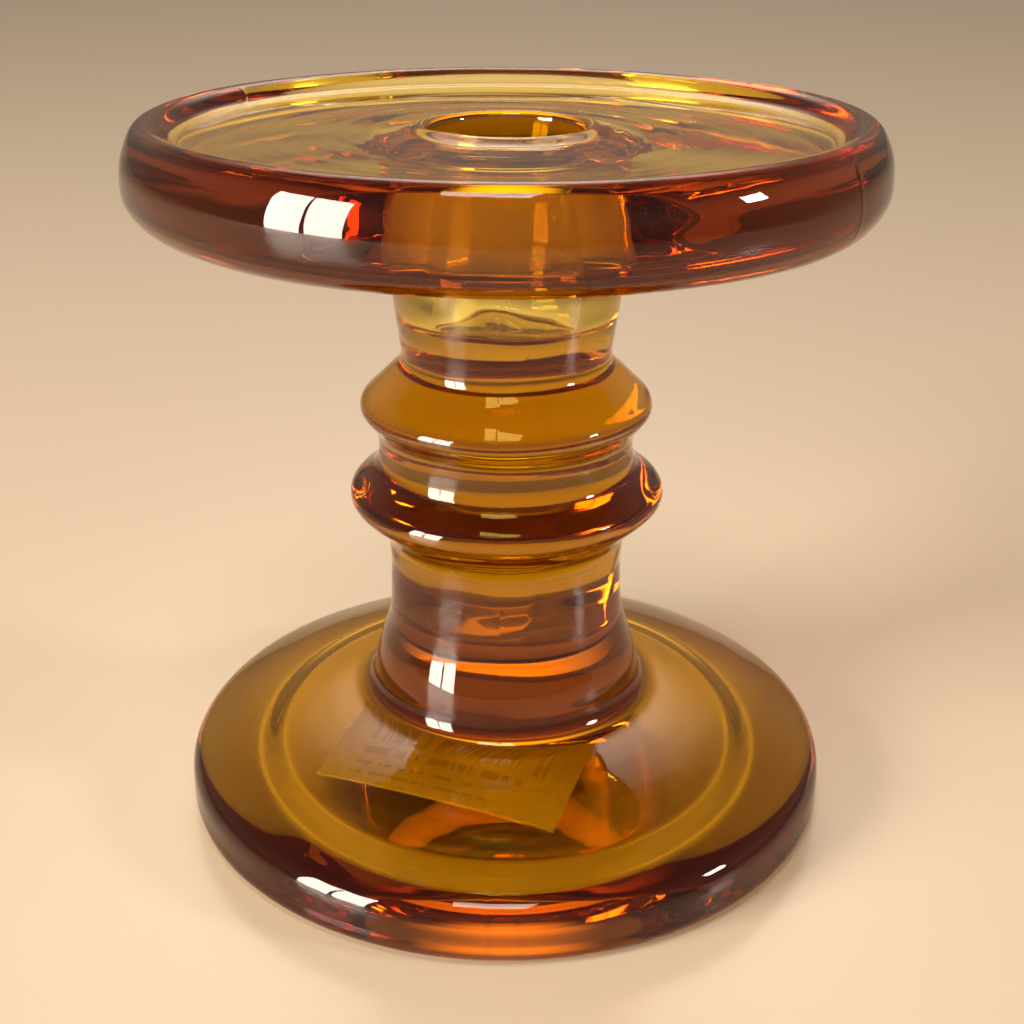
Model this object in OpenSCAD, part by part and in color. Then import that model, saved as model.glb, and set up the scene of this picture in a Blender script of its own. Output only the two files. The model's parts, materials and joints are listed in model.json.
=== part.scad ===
// Pressed glass candlestick for a taper candle or a pillar candle.
// Everything is round about the Z axis, and Z = 0 is the table it stands on.
// The glass sections meet on level seams, where the glassmaker joins them hot.

/* [Plate] */
// Outer diameter of the candle plate
plate_d = 110; // [100:1:125]
// Height of the plate from its seam to the top of the rim
plate_h = 14.5; // [13:0.5:20]
// Radius of the round under-edge
under_r = 6; // [4:0.5:7]
// Radius of the rolled top of the rim
rim_r = 2.9; // [2:0.1:3.2]
// Depth of the recess inside the rim
recess_h = 2.6; // [1.8:0.1:3.5]

/* [Candle socket] */
// Diameter of the socket
socket_d = 22.4; // [20:0.1:24]
// Depth of the socket below the lip
socket_h = 29.5; // [22:0.5:30]
// Radius of the rolled lip around the mouth
lip_r = 1.4; // [0.8:0.1:2]
// Height of the lip above the recess floor
lip_h = 1.1; // [0.1:0.1:1.5]

/* [Stem] */
// Height of the cup under the plate
cup_h = 21; // [19:0.5:26]
// Diameter of the cup at its foot
cup_d = 32.6; // [30:0.1:34]
// Diameter of the cup just under the plate
cup_top_d = 37.6; // [35:0.1:42]
// Height of the upper ring
upper_ring_h = 13.3; // [12:0.1:16]
// Diameter of the upper ring
upper_ring_d = 45.6; // [43:0.1:50]
// Height of the neck between the rings
neck_h = 2.4; // [1.5:0.1:6]
// Diameter of the neck
neck_d = 40.2; // [38:0.1:41]
// Height of the lower ring
lower_ring_h = 15.3; // [14:0.1:18]
// Diameter of the lower ring
lower_ring_d = 49.8; // [46:0.1:54]
// Height of the lower stem
stem_h = 22.2; // [18:0.1:32]
// Diameter of the lower stem
stem_d = 37.8; // [35:0.1:39]
// Diameter where the lower stem flares out onto the foot
flare_d = 43.2; // [41:0.1:47]

/* [Foot] */
// Outer diameter of the foot
foot_d = 105; // [98:1:120]
// Rounding of the foot's upper edge
edge_r = 4.6; // [3:0.1:6]
// Height of the middle of that rounding above the table
edge_z = 5.8; // [4.5:0.1:7.5]
// Slope of the dome at the edge of the foot, in degrees
dome_low = 26; // [20:1:30]
// Slope of the dome at the stem, in degrees
dome_high = 7; // [5:1:16]
// Diameter of the hollow under the foot, at the table
hollow_d = 77; // [76:1:90]
// Depth of the hollow under the foot
hollow_h = 1.5; // [0.6:0.1:2.5]

/* [Label] */
// Length of the paper label
label_l = 38.1; // [20:0.1:40]
// Width of the paper label
label_w = 21.2; // [12:0.1:22]
// Thickness of the paper label
label_t = 0.12; // [0.1:0.01:0.3]
// Where the middle of the label sits, across
label_x = -7.1; // [-8:0.1:4]
// Where the middle of the label sits, front to back
label_y = -11.3; // [-12:0.1:8]
// How far the label is turned
label_turn = -21; // [-90:1:90]

/* [Hidden] */
$fn = 96;
cap = 1.5;                       // rounded corner inside the socket
socket_r = socket_d / 2;
plate_r = plate_d / 2;
foot_r = foot_d / 2;

foot_fillet = 4;                 // hollow curve from the dome up to the stem
edge_x = foot_r - edge_r;        // middle of the edge rounding
fillet_x = flare_d / 2 + foot_fillet;
dome_r = (edge_x + edge_r * sin(dome_low) - fillet_x + foot_fillet * sin(dome_high))
    / (sin(dome_low) - sin(dome_high));
dome_x = edge_x - (dome_r - edge_r) * sin(dome_low);
dome_z = edge_z - (dome_r - edge_r) * cos(dome_low);
foot_h = dome_z + (dome_r + foot_fillet) * cos(dome_high);

z_stem = foot_h;
z_lower_ring = z_stem + stem_h;
z_neck = z_lower_ring + lower_ring_h;
z_upper_ring = z_neck + neck_h;
z_cup = z_upper_ring + upper_ring_h;
z_plate = z_cup + cup_h;

floor_h = plate_h - recess_h;    // recess floor, above the plate's seam
mouth_h = floor_h + lip_h;       // top of the lip, above the plate's seam
socket_foot = max(1, z_plate + mouth_h - socket_h - z_cup);

crease_h = under_r + 0.7;        // crease between the under-edge and the outer wall
wall_top = 30;                   // the wall curves in until it slopes this much, in degrees
wall_r = 2 * (plate_h - crease_h) - rim_r;
roll_x = plate_r - (1 - cos(wall_top)) * wall_r - cos(wall_top) * rim_r;
roll_end = 140;                  // where the rolled rim gives way to the slope of the recess
recess_r = 1.2;                  // hollow curve from that slope to the recess floor

glass = [0.80, 0.42, 0.07, 0.55];
paper = [0.93, 0.90, 0.84];

// Points along a circle of radius r about [x, z], from angle a to angle b.
function arc(x, z, r, a, b, n = 8) =
    [for (i = [0:n]) [x + r * cos(a + (b - a) * i / n), z + r * sin(a + (b - a) * i / n)]];

// A solid of revolution from an outline of [radius, height] points.
module turned(outline) {
    rotate_extrude() polygon(outline);
}

// Recessed plate with a rolled rim, and the mouth of the socket in its middle.
module candle_plate() {
    slope = roll_end - 90;
    drop = recess_h - rim_r * (1 - sin(roll_end)) - recess_r * (1 - cos(slope));
    floor_x = roll_x + rim_r * cos(roll_end) - drop / tan(slope) - recess_r * sin(slope);
    color(glass) translate([0, 0, z_plate]) turned(concat(
        [[socket_r, 0]],
        arc(plate_r - under_r, under_r, under_r, -90, 0, 12),
        arc(plate_r - wall_r, crease_h, wall_r, 0, wall_top, 8),
        arc(roll_x, plate_h - rim_r, rim_r, wall_top, roll_end, 10),
        arc(floor_x, floor_h + recess_r, recess_r, slope - 90, -90, 4),
        [[socket_r + lip_r + 2.5, floor_h]],
        arc(socket_r + lip_r, mouth_h - lip_r, lip_r, 90, 180, 8)
    ));
}

// Cup that hangs under the plate, with the blind end of the socket in it.
module candle_cup() {
    fillet = 1.9;
    color(glass) translate([0, 0, z_cup]) turned(concat(
        [[0, 0], [cup_d / 2, 0], [cup_top_d / 2, cup_h - fillet]],
        arc(cup_top_d / 2 + fillet, cup_h - fillet, fillet, 180, 90, 6),
        [[socket_r, cup_h]],
        arc(socket_r - cap, socket_foot + cap, cap, 0, -90, 6),
        [[0, socket_foot - 0.3]]
    ));
}

// Ring with a rounded nose, running into the seams above and below in hollow curves.
module ring(low_r, nose_r, top_r, h, nose_z, round, low_curve, top_curve) {
    color(glass) turned(concat(
        [[0, 0]],
        arc(low_r + low_curve, 0, low_curve, 180, 135, 6),
        arc(nose_r - round, nose_z, round, -45, 45, 10),
        arc(top_r + top_curve, h, top_curve, 225, 180, 6),
        [[0, h]]
    ));
}

module upper_ring() {
    translate([0, 0, z_upper_ring])
        ring(neck_d / 2, upper_ring_d / 2, cup_d / 2, upper_ring_h, 5, 2.2, 3, 3);
}

// Short waisted neck between the two rings.
module neck() {
    waist = 0.2;
    color(glass) translate([0, 0, z_neck])
        turned([[0, 0], [neck_d / 2, 0], [neck_d / 2 - waist, neck_h / 2], [neck_d / 2, neck_h], [0, neck_h]]);
}

module lower_ring() {
    translate([0, 0, z_lower_ring])
        ring(stem_d / 2, lower_ring_d / 2, neck_d / 2, lower_ring_h, 8.4, 2.6, 4, 4);
}

// Lower stem: slightly waisted, then a collar that swells out onto the foot.
module lower_stem() {
    waist = 0.25;
    collar = 12;
    stem_r = stem_d / 2;
    swell = flare_d / 2 - stem_r;
    color(glass) translate([0, 0, z_stem]) turned(concat(
        [[0, 0]],
        [for (t = [0:0.1:1]) [stem_r + swell * (1 + cos(180 * t)) / 2, collar * t]],
        [[stem_r - waist, (collar + 2 * stem_h) / 3], [stem_r, stem_h], [0, stem_h]]
    ));
}

// Foot: a low dome with a round edge, hollowed underneath so that it stands on a flat ring.
module foot() {
    low_r = 2.7;
    step = 3;
    color(glass) turned(concat(
        [[0, hollow_h]],
        arc(hollow_d / 2 - step, hollow_h - 0.8, 0.8, 90, 35, 4),
        [[hollow_d / 2, 0]],
        arc(foot_r - low_r, low_r, low_r, -90, 0, 8),
        arc(edge_x, edge_z, edge_r, 0, 90 - dome_low, 10),
        arc(dome_x, dome_z, dome_r, 90 - dome_low, 90 - dome_high, 12),
        arc(fillet_x, foot_h, foot_fillet, 270 - dome_high, 180, 8),
        [[0, foot_h]]
    ));
}

// Paper label stuck to the glass, in the hollow under the foot.
module price_label() {
    color(paper) translate([label_x, label_y, hollow_h - label_t / 2]) rotate([0, 0, label_turn])
        cube([label_l, label_w, label_t], center = true);
}

candle_plate();
candle_cup();
upper_ring();
neck();
lower_ring();
lower_stem();
foot();
price_label();
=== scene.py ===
"""Looks of the pressed glass candlestick: amber glass sections, a paper label and a plain studio."""

import json
import math

import bpy
import numpy as np
from mathutils import Matrix, Vector


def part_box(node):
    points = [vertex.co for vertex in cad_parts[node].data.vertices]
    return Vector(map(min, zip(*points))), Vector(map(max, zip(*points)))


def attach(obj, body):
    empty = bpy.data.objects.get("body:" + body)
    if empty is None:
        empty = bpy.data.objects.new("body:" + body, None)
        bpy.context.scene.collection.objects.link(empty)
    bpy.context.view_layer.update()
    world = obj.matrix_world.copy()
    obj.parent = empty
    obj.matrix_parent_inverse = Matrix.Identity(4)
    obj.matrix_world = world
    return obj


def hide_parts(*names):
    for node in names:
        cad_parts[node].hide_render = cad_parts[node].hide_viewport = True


MM = 0.001
TURNS = 240                # segments around the axis
STEP = 0.3 * MM            # spacing of outline points
MELT = 8                   # passes of smoothing that melt the corners of the outline
SKIN = 0.22 * MM           # how far the rippled glass stays inside the CAD surface
LIP = 1.1 * MM             # height of the socket's lip above the recess floor
SOCKET_DEPTH = 29.5 * MM   # from the lip to the bottom of the socket
FLAT_FOOT = 1.6 * MM       # the foot stays flat up to this height, and the ripple fades in above it
AIR = 0.2 * MM             # thin air between the foot and the floor
SEAM_GAP = 0.03 * MM       # hairline between two glass sections
SEAM_DROP = 0.5 * MM       # the plate's seam sits this far below its underside
PLATE_SEAM = -35           # direction of the mould seam on the plate, in degrees from +X
STEM_SEAM = -93            # direction of the mould seam on the stem
AMBER = (0.93, 0.83, 0.2, 1)
AMBER_DENSITY = 200        # absorption per metre of glass, times one minus the amber
WARM = (1.0, 0.89, 0.76)   # colour of the window light and the softbox

SECTIONS = ["foot", "lower_stem", "lower_ring", "neck", "upper_ring", "candle_cup", "candle_plate"]

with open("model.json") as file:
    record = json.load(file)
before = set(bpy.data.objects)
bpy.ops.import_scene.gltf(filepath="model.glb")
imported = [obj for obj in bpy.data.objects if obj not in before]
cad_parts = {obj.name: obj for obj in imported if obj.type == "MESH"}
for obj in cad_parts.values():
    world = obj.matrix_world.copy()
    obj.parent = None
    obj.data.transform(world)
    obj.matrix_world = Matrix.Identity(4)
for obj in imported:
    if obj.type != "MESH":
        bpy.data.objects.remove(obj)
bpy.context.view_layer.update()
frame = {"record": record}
boxes = {name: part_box(name) for name in SECTIONS + ["price_label"]}
mounts = {m["name"]: m for m in frame["record"]["mounts"]}


def low(node):
    return boxes[node][0].z


def high(node):
    return boxes[node][1].z


def radius(node):
    return boxes[node][1].y


# ---------------------------------------------------------------- outline of the glass


def arc(x, z, r, a, b):
    """Points along a circle of radius r about (x, z), from angle a to b in degrees."""
    n = max(3, int(abs(math.radians(b - a)) * r / STEP))
    t = np.radians(np.linspace(a, b, n))
    return list(zip(x + r * np.cos(t), z + r * np.sin(t)))


def foot_outline():
    """From the axis in the hollow under the foot, round the edge and up the dome to the stem."""
    hollow_z, hollow_r, roll = high("price_label"), 38.5 * MM, 2.7 * MM
    edge, edge_z, fillet = 4.6 * MM, 5.8 * MM, 4 * MM
    steep, flat = 26, 7
    edge_x = radius("foot") - edge
    fillet_x = radius("lower_stem") + fillet
    top = high("foot")
    s1, s2 = math.sin(math.radians(steep)), math.sin(math.radians(flat))
    dome = (edge_x + edge * s1 - fillet_x + fillet * s2) / (s1 - s2)
    dome_x = edge_x - (dome - edge) * s1
    dome_z = edge_z - (dome - edge) * math.cos(math.radians(steep))
    return (
        [(0, hollow_z)]
        + arc(hollow_r - 3 * MM, hollow_z - 0.8 * MM, 0.8 * MM, 90, 35)
        + [(hollow_r, 0)]
        + arc(radius("foot") - roll, roll, roll, -90, 0)
        + arc(edge_x, edge_z, edge, 0, 90 - steep)
        + arc(dome_x, dome_z, dome, 90 - steep, 90 - flat)
        + arc(fillet_x, top, fillet, 270 - flat, 180)
    )


def stem_outline(stem_r):
    z, top, flare, collar = low("lower_stem"), high("lower_stem"), radius("lower_stem"), 12 * MM
    swell = flare - stem_r
    points = [
        (stem_r + swell * (1 + math.cos(math.pi * t)) / 2, z + collar * t)
        for t in np.linspace(0, 1, 40)
    ]
    return points + [(stem_r - 0.25 * MM, z + (collar + 2 * (top - z)) / 3), (stem_r, top)]


def ring_outline(node, low_r, top_r, nose_h, nose, low_curve, top_curve):
    return (
        arc(low_r + low_curve, low(node), low_curve, 180, 135)
        + arc(radius(node) - nose, low(node) + nose_h, nose, -45, 45)
        + arc(top_r + top_curve, high(node), top_curve, 225, 180)
    )


def plate_outline():
    """From the cup's fillet, round the rim and over the recess floor to the mouth of the socket."""
    z, top = low("candle_plate"), high("candle_plate")
    floor = mounts["pillar_seat"]["pos_m"][2]
    bore = mounts["taper_socket"]["dims"]["r_mm"] * MM
    plate_r, under, roll, lip, hollow = radius("candle_plate"), 6 * MM, 2.9 * MM, 1.4 * MM, 1.2 * MM
    crease, mouth = z + under + 0.7 * MM, floor + LIP
    wall_top, roll_end = 30, 140
    slope = math.radians(roll_end - 90)
    wall = 2 * (top - crease) - roll
    lean = math.cos(math.radians(wall_top))
    roll_x = plate_r - (1 - lean) * wall - lean * roll
    drop = top - floor - roll * (1 - math.cos(slope)) - hollow * (1 - math.cos(slope))
    floor_x = roll_x - roll * math.sin(slope) - drop / math.tan(slope) - hollow * math.sin(slope)
    return (
        arc(plate_r - under, z + under, under, -90, 0)
        + arc(plate_r - wall, crease, wall, 0, wall_top)
        + arc(roll_x, top - roll, roll, wall_top, roll_end)
        + arc(floor_x, floor + hollow, hollow, roll_end - 180, -90)
        + [(bore + lip + 2.5 * MM, floor)]
        + arc(bore + lip, mouth - lip, lip, 90, 180)
    )


def cup_outline(cup_r, cup_top):
    z, fillet = low("candle_plate"), 1.9 * MM
    return [(cup_r, low("candle_cup"))] + arc(cup_top + fillet, z - fillet, fillet, 180, 90)


def socket_outline():
    bore, corner, dip = mounts["taper_socket"]["dims"]["r_mm"] * MM, 1.5 * MM, 0.3 * MM
    pit = mounts["pillar_seat"]["pos_m"][2] + LIP - SOCKET_DEPTH
    return arc(bore - corner, pit + corner, corner, 0, -90) + [(0, pit - dip)]


def glass_outline():
    """The outline of the glass, from the axis under the foot to the axis at the bottom of the socket."""
    neck_r, cup_r, stem_r = radius("neck"), 16.3 * MM, 18.9 * MM
    return (
        foot_outline()
        + stem_outline(stem_r)
        + ring_outline("lower_ring", stem_r, neck_r, 8.4 * MM, 2.6 * MM, 4 * MM, 4 * MM)
        + [(neck_r - 0.2 * MM, (low("neck") + high("neck")) / 2)]
        + ring_outline("upper_ring", neck_r, cup_r, 5 * MM, 2.2 * MM, 3 * MM, 3 * MM)
        + cup_outline(cup_r, 18.8 * MM)
        + plate_outline()
        + socket_outline()
    )


def soften(points):
    """Even spacing along the outline, with the corners melted a little, as on fire-polished glass."""
    p = np.array(points, float)
    p = p[np.r_[True, np.hypot(*np.diff(p, axis=0).T) > 1e-7]]
    s = np.r_[0, np.cumsum(np.hypot(*np.diff(p, axis=0).T))]
    t = np.linspace(0, s[-1], int(s[-1] / STEP))
    q = np.c_[np.interp(t, s, p[:, 0]), np.interp(t, s, p[:, 1])]
    for _ in range(MELT):
        q[1:-1] = (q[:-2] + 2 * q[1:-1] + q[2:]) / 4
    return q


# ---------------------------------------------------------------- one glass section


def ripple(turn, r, z):
    """How far the surface sinks, in metres: the low waves of pressed glass, with swirls around the socket."""
    h, w = z / MM, r / MM
    swirl = 0.15 + 1.1 * math.exp(-(((w - 16) / 9) ** 2)) if z > low("candle_plate") else 0.12
    near_neck = math.exp(-(((z - low("neck")) / (6 * MM)) ** 2))
    wave = (
        0.060 * np.sin(3 * turn + 0.21 * h + 0.6)
        + 0.040 * np.sin(5 * turn - 0.33 * h + 2.1)
        + 0.024 * np.sin(9 * turn + 0.12 * h)
        + 0.020 * np.sin(2 * turn + 1.3 * h)
        + swirl * 0.034 * np.sin(1.05 * w + 1.4 * np.sin(turn + 0.5) + 0.8 * np.sin(2 * turn))
        + swirl * 0.014 * np.sin(2.3 * w + 1.6 * np.sin(2 * turn) + 1.1 * np.sin(3 * turn))
        + 0.014 * np.sin(3.9 * h + 1.2 * np.sin(2 * turn + 1)) * near_neck
    )
    return wave * MM


def turns_around():
    """Angles around the axis, closer together at the mould seams."""
    even = np.arange(TURNS) * 2 * math.pi / TURNS
    beside = (-0.9, -0.5, -0.2, 0.2, 0.5, 0.9)
    fine = [
        math.radians(seam + half + d) for seam in (PLATE_SEAM, STEM_SEAM) for half in (0, 180) for d in beside
    ]
    return np.unique(np.round(np.mod(np.r_[even, fine], 2 * math.pi), 5))


def mould_seam(turn, r, z):
    """Height of the fine ridge where the mould halves met."""
    ridge, spread = 0.08 * MM, 0.35 * MM
    seam = np.where(z > low("candle_plate"), PLATE_SEAM, STEM_SEAM)
    away = np.abs(np.mod(np.degrees(turn) - seam + 90, 180) - 90)
    return ridge * np.exp(-((np.radians(away) * r / spread) ** 2))


def turned_mesh(name, points, normals, joined, closed):
    """A closed mesh: points (radius, height) turned around the axis. joined marks the segments on a seam."""
    fade_up, fade_out = 2 * MM, 4 * MM      # the ripple comes in over this height and this radius
    turn = turns_around()
    n = len(turn)
    rows, verts = [], []
    count = 0
    for (r, z), (nr, nz) in zip(points, normals):
        if r < 1e-7:
            verts.append(np.array([[0.0, 0.0, z]]))
            rows.append(np.full(n, count))
            count += 1
            continue
        sink = SKIN + ripple(turn, r, z) - mould_seam(turn, r, z) * max(0.0, nr) ** 2
        sink *= min(1.0, max(0.0, (z - FLAT_FOOT) / fade_up)) * min(1.0, r / fade_out)
        rr, zz = r - nr * sink, z - nz * sink
        verts.append(np.c_[rr * np.cos(turn), rr * np.sin(turn), zz])
        rows.append(count + np.arange(n))
        count += n
    faces, flags = [], []
    pairs = list(zip(range(len(rows)), range(1, len(rows)))) + ([(len(rows) - 1, 0)] if closed else [])
    for (i, k), flag in zip(pairs, joined):
        a, b = rows[i], rows[k]
        a2, b2 = np.roll(a, -1), np.roll(b, -1)
        if a[0] == a[1]:
            faces += np.c_[a, b2, b].tolist()
        elif b[0] == b[1]:
            faces += np.c_[a, a2, b].tolist()
        else:
            faces += np.c_[a, a2, b2, b].tolist()
        flags += [flag] * n
    mesh = bpy.data.meshes.new(name)
    mesh.from_pydata(np.concatenate(verts).tolist(), [], faces)
    # All alike, or light never leaves the amber.
    mesh.polygons.foreach_set("use_smooth", [True] * len(flags))
    mark = mesh.attributes.new("joined", "FLOAT", "FACE")
    mark.data.foreach_set("value", np.array(flags, np.float32))
    before = [joined[-1] if closed else joined[0], *joined]
    borders = [row for row, a, b in zip(rows, before, [*joined, joined[-1]]) if a != b]
    if closed:
        borders.append(rows[-1])
    row_of = np.zeros(count, int)
    for k, row in enumerate(borders, 1):
        row_of[row] = k
    ends = np.empty(2 * len(mesh.edges), int)
    mesh.edges.foreach_get("vertices", ends)
    one, two = row_of[ends.reshape(-1, 2)].T
    mesh.edges.foreach_set("use_edge_sharp", (one == two) & (one > 0))
    mesh.update()
    obj = bpy.data.objects.new(name, mesh)
    bpy.context.collection.objects.link(obj)
    return obj


def cross(q, z, start):
    """First place after start where the outline crosses height z: (segment, point)."""
    for i in range(start, len(q) - 1):
        a, b = q[i], q[i + 1]
        if (a[1] - z) * (b[1] - z) <= 0 and a[1] != b[1]:
            t = (z - a[1]) / (b[1] - a[1])
            return i, a + (b - a) * t
    raise ValueError(f"the outline never reaches {z}")


def build_sections():
    """One closed mesh for each section: the outline is cut at the seams, a hairline apart."""
    q = soften(glass_outline())
    t = np.gradient(q, axis=0)
    t /= np.hypot(t[:, 0], t[:, 1])[:, None]
    normal = np.c_[t[:, 1], -t[:, 0]]
    margin = 40    # outline points below the foot's seam, where the search for the seams starts
    waist = int(np.argmin(np.hypot(q[:, 0] - radius("lower_stem"), q[:, 1] - high("foot")))) - margin
    heights = [high(n) for n in SECTIONS[:5]] + [low("candle_plate") - SEAM_DROP]
    rim = int(np.argmax(q[:, 1]))

    def at(z, start):
        i, p = cross(q, z, start)
        return i, p, normal[i]

    made = {}
    for k, name in enumerate(SECTIONS):
        bottom = at(heights[k - 1] + SEAM_GAP / 2, waist) if k else None
        top = at(heights[k] - SEAM_GAP / 2, waist) if k < len(heights) else None
        start = bottom[0] + 1 if bottom else 0
        if name == "candle_plate":
            mouth = at(heights[k - 1] + SEAM_GAP / 2, rim)
            pts = [bottom[1], *q[start : mouth[0] + 1], mouth[1]]
            nrm = [bottom[2], *normal[start : mouth[0] + 1], mouth[2]]
            joined = [0.0] * (len(pts) - 1) + [1.0]
            made[name] = turned_mesh(name + "_glass", pts, nrm, joined, True)
            continue
        pts = [*q[start : top[0] + 1], top[1]]
        nrm = [*normal[start : top[0] + 1], top[2]]
        joined = [0.0] * (len(pts) - 1)
        if bottom:
            pts = [(0, bottom[1][1]), bottom[1]] + pts
            nrm = [(0, 0), bottom[2]] + nrm
            joined = [1.0, 0.0] + joined
        if name == "candle_cup":
            mouth = at(heights[k] - SEAM_GAP / 2, rim)
            tail = q[mouth[0] + 1 :]
            pts += [mouth[1], *tail]
            nrm += [mouth[2], *normal[mouth[0] + 1 :]]
            joined += [1.0] + [0.0] * len(tail)
        else:
            pts += [(0, top[1][1])]
            nrm += [(0, 0)]
            joined += [1.0]
        made[name] = turned_mesh(name + "_glass", pts, nrm, joined, False)
    return made


# ---------------------------------------------------------------- materials


def glass_material():
    """Amber glass whose colour deepens with thickness. Faces on a hot-joined seam let all light by."""
    m = bpy.data.materials.new("amber_glass")
    m.use_nodes = True
    nodes, links = m.node_tree.nodes, m.node_tree.links
    body = nodes["Principled BSDF"]
    body.inputs["Base Color"].default_value = (1, 1, 1, 1)
    body.inputs["IOR"].default_value = 1.5
    body.inputs["Transmission Weight"].default_value = 1.0
    joined = nodes.new("ShaderNodeAttribute")
    joined.attribute_name = "joined"
    keep = nodes.new("ShaderNodeMath")
    keep.operation = "SUBTRACT"
    keep.inputs[0].default_value = 1.0
    links.new(joined.outputs["Fac"], keep.inputs[1])
    links.new(keep.outputs["Value"], body.inputs["Alpha"])
    place, haze, gloss = (nodes.new("ShaderNode" + kind) for kind in ("TexCoord", "TexNoise", "ValToRGB"))
    haze.inputs["Scale"].default_value = 70
    haze.inputs["Detail"].default_value = 3
    gloss.color_ramp.elements[0].position, gloss.color_ramp.elements[0].color = 0.5, (0.0, 0.0, 0.0, 1)
    gloss.color_ramp.elements[1].position, gloss.color_ramp.elements[1].color = 0.8, (0.07, 0.07, 0.07, 1)
    links.new(place.outputs["Object"], haze.inputs["Vector"])
    links.new(haze.outputs["Fac"], gloss.inputs["Fac"])
    links.new(gloss.outputs["Color"], body.inputs["Roughness"])
    amber = nodes.new("ShaderNodeVolumeAbsorption")
    amber.inputs["Color"].default_value = AMBER
    amber.inputs["Density"].default_value = AMBER_DENSITY
    links.new(amber.outputs["Volume"], nodes["Material Output"].inputs["Volume"])
    return m


def paper_material():
    """White label paper seen from its glued side: plain bars and dashes show through, and no lettering."""
    m = bpy.data.materials.new("label_paper")
    m.use_nodes = True
    nodes, links = m.node_tree.nodes, m.node_tree.links

    def math_node(operation, a, b):
        node = nodes.new("ShaderNodeMath")
        node.operation = operation
        for socket, value in zip(node.inputs, (a, b)):
            if isinstance(value, (int, float)):
                socket.default_value = value
            else:
                links.new(value, socket)
        return node.outputs["Value"]

    def band(value, start, end):
        above = math_node("GREATER_THAN", value, start)
        below = math_node("LESS_THAN", value, end)
        return math_node("MULTIPLY", above, below)

    def strokes(count, share, row):
        """Marks of uneven spacing along the label: 1 on a mark, 0 between."""
        cell = math_node("FLOOR", math_node("MULTIPLY", along, count), 0)
        noise = nodes.new("ShaderNodeTexWhiteNoise")
        noise.noise_dimensions = "1D"
        links.new(math_node("ADD", cell, row * 131.7), noise.inputs["W"])
        return math_node("LESS_THAN", noise.outputs["Value"], share)

    where, split = nodes.new("ShaderNodeUVMap"), nodes.new("ShaderNodeSeparateXYZ")
    where.uv_map = "label"
    links.new(where.outputs["UV"], split.inputs[0])
    along, across = split.outputs["X"], split.outputs["Y"]
    bars = math_node("MULTIPLY", strokes(96, 0.46, 0), band(across, 0.44, 0.90))
    ink = math_node("MULTIPLY", bars, band(along, 0.10, 0.88))
    dash_rows = ((0.30, 0.37, 0.80), (0.18, 0.215, 0.62), (0.08, 0.11, 0.70))
    for row, (start, end, reach) in enumerate(dash_rows, 1):
        dashes = math_node("MULTIPLY", strokes(70, 0.62, row), band(across, start, end))
        ink = math_node("MAXIMUM", ink, math_node("MULTIPLY", dashes, band(along, 0.12, reach)))

    fibre = nodes.new("ShaderNodeTexNoise")
    fibre.inputs["Scale"].default_value = 900
    fibre.inputs["Detail"].default_value = 4
    place = nodes.new("ShaderNodeTexCoord")
    links.new(place.outputs["Object"], fibre.inputs["Vector"])
    tone = nodes.new("ShaderNodeValToRGB")
    tone.color_ramp.elements[0].color = (0.70, 0.66, 0.58, 1)
    tone.color_ramp.elements[1].color = (0.88, 0.84, 0.77, 1)
    links.new(fibre.outputs["Fac"], tone.inputs["Fac"])
    printed = nodes.new("ShaderNodeMix")
    printed.data_type = "RGBA"
    links.new(math_node("MULTIPLY", ink, 0.34), printed.inputs["Factor"])
    links.new(tone.outputs["Color"], printed.inputs[6])
    printed.inputs[7].default_value = (0.22, 0.20, 0.17, 1)
    bump = nodes.new("ShaderNodeBump")
    bump.inputs["Strength"].default_value = 0.15
    bump.inputs["Distance"].default_value = 0.05 * MM
    links.new(fibre.outputs["Fac"], bump.inputs["Height"])
    body = nodes["Principled BSDF"]
    body.inputs["Roughness"].default_value = 0.7
    links.new(printed.outputs[2], body.inputs["Base Color"])
    links.new(bump.outputs["Normal"], body.inputs["Normal"])
    return m


def plain(name, colour, roughness):
    m = bpy.data.materials.new(name)
    m.use_nodes = True
    body = m.node_tree.nodes["Principled BSDF"]
    body.inputs["Base Color"].default_value = (*colour, 1)
    body.inputs["Roughness"].default_value = roughness
    return m


# ---------------------------------------------------------------- label


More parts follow.
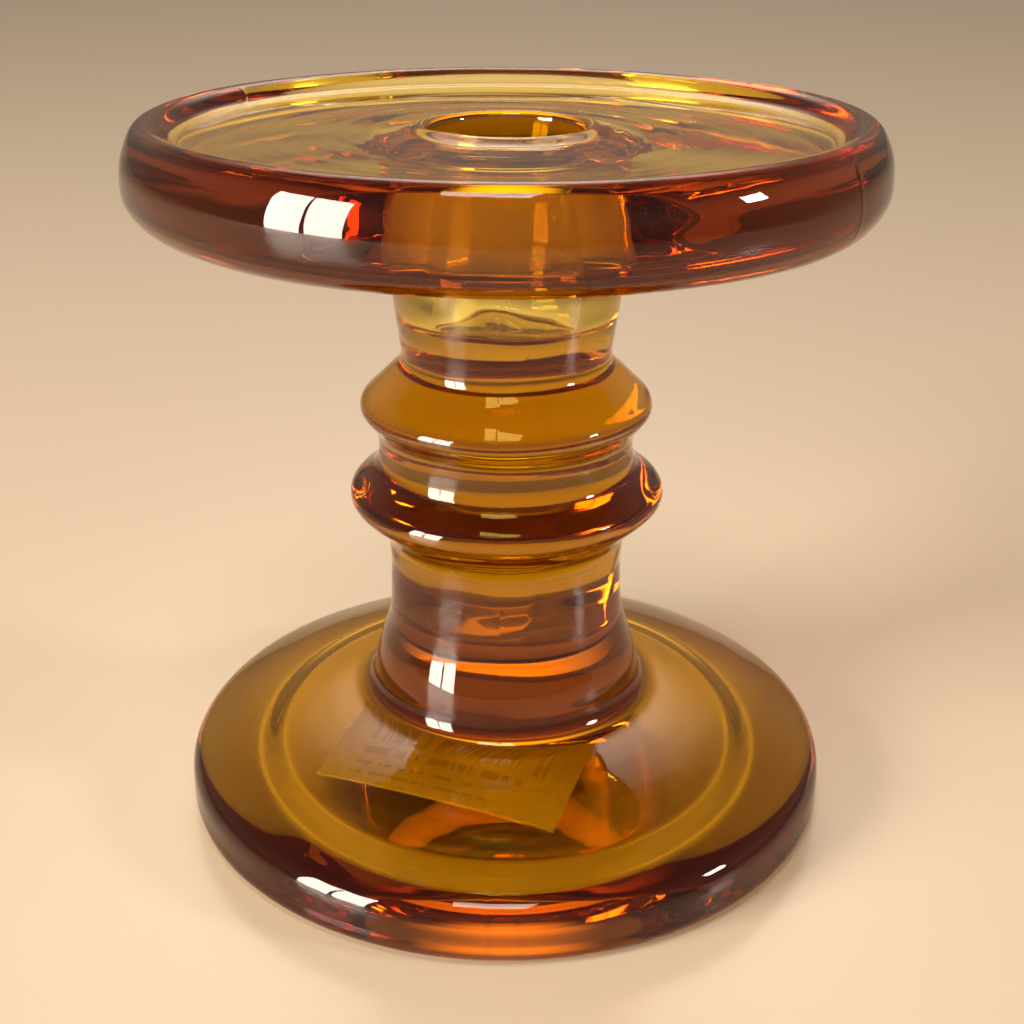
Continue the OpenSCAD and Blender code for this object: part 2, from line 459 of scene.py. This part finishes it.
def build_label():
    """A thin sheet in the hollow under the foot, with a UV map for its print."""
    lo, hi = boxes["price_label"]
    length, width, turn = 38.1 * MM, 21.2 * MM, math.radians(-21)
    centre = (lo + hi) / 2
    spin = Matrix.Rotation(turn, 4, "Z")
    top, bottom = hi.z + 0.02 * MM, lo.z      # glued flat, with no air behind it
    nx, ny = 40, 26
    verts, faces = [], []
    for z in (bottom, top):
        for j in range(ny + 1):
            for i in range(nx + 1):
                p = spin @ Vector(((i / nx - 0.5) * length, (j / ny - 0.5) * width, 0))
                verts.append((centre.x + p.x, centre.y + p.y, z))
    layer = (nx + 1) * (ny + 1)

    def at(i, j, k):
        return k * layer + j * (nx + 1) + i

    for j in range(ny):
        for i in range(nx):
            faces.append((at(i, j, 0), at(i, j + 1, 0), at(i + 1, j + 1, 0), at(i + 1, j, 0)))
            faces.append((at(i, j, 1), at(i + 1, j, 1), at(i + 1, j + 1, 1), at(i, j + 1, 1)))
    for i in range(nx):
        faces.append((at(i, 0, 0), at(i + 1, 0, 0), at(i + 1, 0, 1), at(i, 0, 1)))
        faces.append((at(i + 1, ny, 0), at(i, ny, 0), at(i, ny, 1), at(i + 1, ny, 1)))
    for j in range(ny):
        faces.append((at(0, j + 1, 0), at(0, j, 0), at(0, j, 1), at(0, j + 1, 1)))
        faces.append((at(nx, j, 0), at(nx, j + 1, 0), at(nx, j + 1, 1), at(nx, j, 1)))
    mesh = bpy.data.meshes.new("price_label_paper")
    mesh.from_pydata(verts, [], faces)
    uv = mesh.uv_layers.new(name="label")
    for loop in mesh.loops:
        j, i = divmod(loop.vertex_index % layer, nx + 1)
        uv.data[loop.index].uv = (i / nx, j / ny)
    mesh.update()
    obj = bpy.data.objects.new("price_label_paper", mesh)
    bpy.context.collection.objects.link(obj)
    return obj


# ---------------------------------------------------------------- build


glass = glass_material()
sections = build_sections()
for name, obj in sections.items():
    obj.data.materials.append(glass)
    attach(obj, "root")
    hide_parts(name)

label = build_label()
label.data.materials.append(paper_material())
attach(label, "root")
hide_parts("price_label")


# ---------------------------------------------------------------- studio


def slab(name, corners, material):
    mesh = bpy.data.meshes.new(name)
    mesh.from_pydata(corners, [], [tuple(range(len(corners)))])
    obj = bpy.data.objects.new(name, mesh)
    obj.data.materials.append(material)
    bpy.context.collection.objects.link(obj)
    return obj


def area(name, place, target, width, height, power, colour):
    light = bpy.data.lights.new(name, "AREA")
    light.shape = "RECTANGLE"
    light.size, light.size_y = width, height
    light.energy = power
    light.color = colour
    obj = bpy.data.objects.new(name, light)
    obj.location = place
    obj.rotation_euler = (Vector(target) - Vector(place)).to_track_quat("-Z", "Y").to_euler()
    bpy.context.collection.objects.link(obj)


def toward(azimuth, elevation, distance):
    """A place seen from the object: azimuth in degrees from the front, positive to the right."""
    a, e = math.radians(azimuth), math.radians(elevation)
    return Vector((math.sin(a) * math.cos(e), -math.cos(a) * math.cos(e), math.sin(e))) * distance


def room():
    """Plain soft studio light: warm and pale low down, dimmer overhead, with a soft glow behind."""
    world = bpy.data.worlds.new("room")
    world.use_nodes = True
    nodes, links = world.node_tree.nodes, world.node_tree.links
    look = nodes.new("ShaderNodeTexCoord")
    split = nodes.new("ShaderNodeSeparateXYZ")
    links.new(look.outputs["Generated"], split.inputs[0])
    ramp = nodes.new("ShaderNodeValToRGB")
    stops = ramp.color_ramp.elements
    stops[0].position, stops[0].color = 0.0, (0.22, 0.17, 0.13, 1)
    stops[1].position, stops[1].color = 0.75, (0.16, 0.13, 0.11, 1)
    pale = stops.new(0.28)
    pale.color = (0.40, 0.31, 0.22, 1)
    links.new(split.outputs["Z"], ramp.inputs["Fac"])
    links.new(ramp.outputs["Color"], nodes["Background"].inputs["Color"])
    squeeze, gap = nodes.new("ShaderNodeVectorMath"), nodes.new("ShaderNodeVectorMath")
    squeeze.operation, gap.operation = "MULTIPLY", "DISTANCE"
    squeeze.inputs[1].default_value = (0.85, 1, 1)
    gap.inputs[1].default_value = toward(180, 42, 1)
    links.new(look.outputs["Generated"], squeeze.inputs[0])
    links.new(squeeze.outputs["Vector"], gap.inputs[0])
    fade = nodes.new("ShaderNodeMapRange")
    fade.interpolation_type = "SMOOTHSTEP"
    for socket, value in (("From Min", 0.42), ("From Max", 0.0), ("To Min", 0.0), ("To Max", 4.0)):
        fade.inputs[socket].default_value = value
    links.new(gap.outputs["Value"], fade.inputs["Value"])
    glow, both = nodes.new("ShaderNodeBackground"), nodes.new("ShaderNodeAddShader")
    glow.inputs["Color"].default_value = (1.0, 0.9, 0.74, 1)
    links.new(fade.outputs["Result"], glow.inputs["Strength"])
    links.new(nodes["Background"].outputs[0], both.inputs[0])
    links.new(glow.outputs[0], both.inputs[1])
    links.new(both.outputs[0], nodes["World Output"].inputs["Surface"])
    bpy.context.scene.world = world


middle = (0, 0, high("candle_plate") / 2)
corners = [(-3, -3, -AIR), (3, -3, -AIR), (3, 3, -AIR), (-3, 3, -AIR)]
floor = slab("floor", corners, plain("floor", (0.76, 0.62, 0.48), 0.24))
room()
for k, azimuth in enumerate((-63, -50.5)):
    area(f"window_{k}", toward(azimuth, 12, 1.4), middle, 0.27, 0.95, 22, WARM)
area("softbox", toward(-8, 66, 1.5), middle, 0.5, 0.4, 6, WARM)
area("lamp_right", toward(75, 24, 1.5), middle, 0.2, 0.2, 6, (1.0, 0.95, 0.9))
bpy.context.scene.view_settings.view_transform = "Standard"

# ---------------------------------------------------------------- camera

camera = bpy.data.cameras.new("camera")
camera.sensor_width = 36
camera.lens = 52.3
camera.clip_start = 0.01
eye = bpy.data.objects.new("camera", camera)
pitch, yaw, roll = math.radians(23.5), math.radians(0.24), math.radians(0.2)
eye.matrix_world = (
    Matrix.Translation((0, -0.2181, 0.142))
    @ Matrix.Rotation(-yaw, 4, "Z")
    @ Matrix.Rotation(math.pi / 2 - pitch, 4, "X")
    @ Matrix.Rotation(roll, 4, "Z")
)
bpy.context.collection.objects.link(eye)
bpy.context.scene.camera = eye

cycles = bpy.context.scene.cycles
cycles.max_bounces = 24
cycles.transmission_bounces = 24
cycles.glossy_bounces = 16
cycles.transparent_max_bounces = 64
